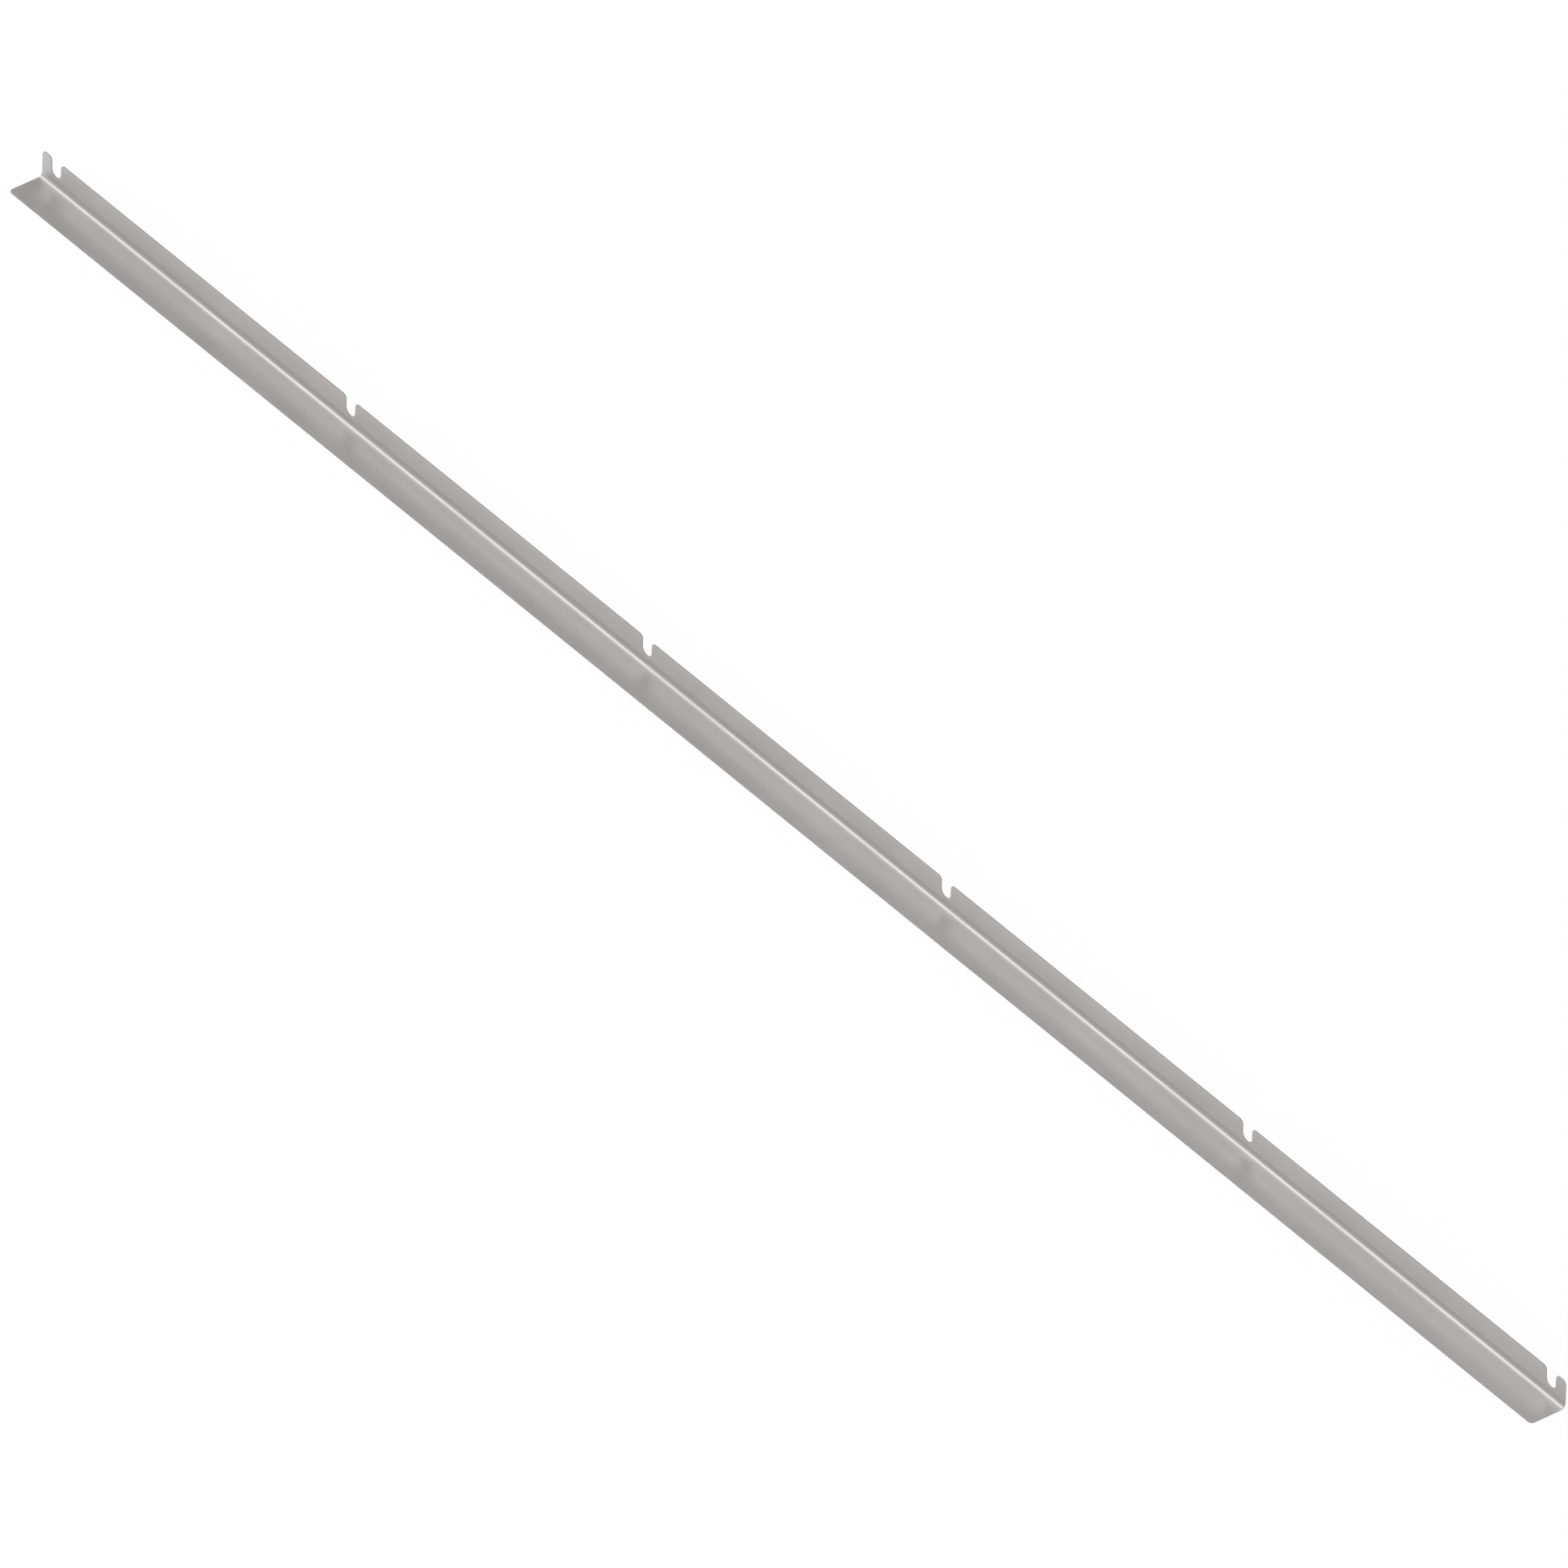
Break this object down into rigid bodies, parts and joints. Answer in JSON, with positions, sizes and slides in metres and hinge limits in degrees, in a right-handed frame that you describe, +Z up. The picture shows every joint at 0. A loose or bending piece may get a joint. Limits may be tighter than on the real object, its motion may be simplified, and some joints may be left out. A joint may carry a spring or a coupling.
{
  "type": "slotted angle strip",
  "caption": "Long strip of folded sheet steel with an L section: flat base, rounded bend and low upright whose top edge has evenly spaced open U slots to hook over bolts or pins.",
  "frame": {"origin": "centre of the strip's box on the underside of the base, on the surface that the strip lies on", "axes": "+X along the strip, -Y towards the free edge of the base, +Y towards the outer face of the upright, +Z up"},
  "size_m": [2, 0.035, 0.027],
  "materials": {
    "sheet_steel": "satin"
  },
  "bodies": {
    "root": {"slotted_angle": "sheet_steel"}
  },
  "joints": []
}
